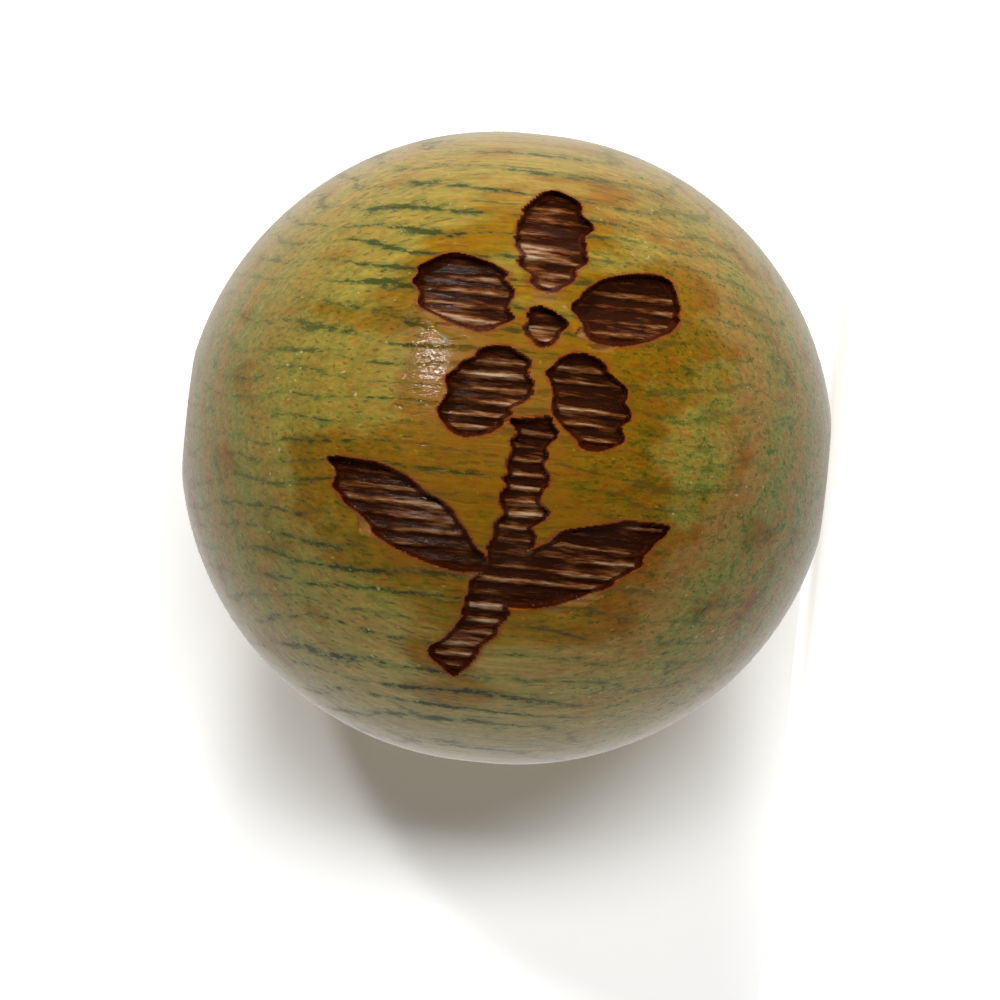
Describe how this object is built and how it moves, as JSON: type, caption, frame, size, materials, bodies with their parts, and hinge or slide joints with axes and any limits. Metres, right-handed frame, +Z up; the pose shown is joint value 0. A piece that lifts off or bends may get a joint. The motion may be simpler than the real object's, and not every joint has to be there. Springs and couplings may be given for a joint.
{
  "type": "carved wooden bead",
  "caption": "Slightly long round wooden bead, drilled through for a cord, with a flower on a stem engraved in fine furrows on its belly.",
  "frame": {"origin": "centre of the bore on the lower end face, which the bead stands on", "axes": "+Z up along the bore; the engraved side faces -Y, and its flower stands upright towards +X"},
  "size_m": [0.012, 0.012, 0.0122],
  "materials": {
    "wood": "polished olive and gold hardwood, burnt dark in the engraving"
  },
  "bodies": {
    "root": {"bead": "wood"}
  },
  "joints": []
}
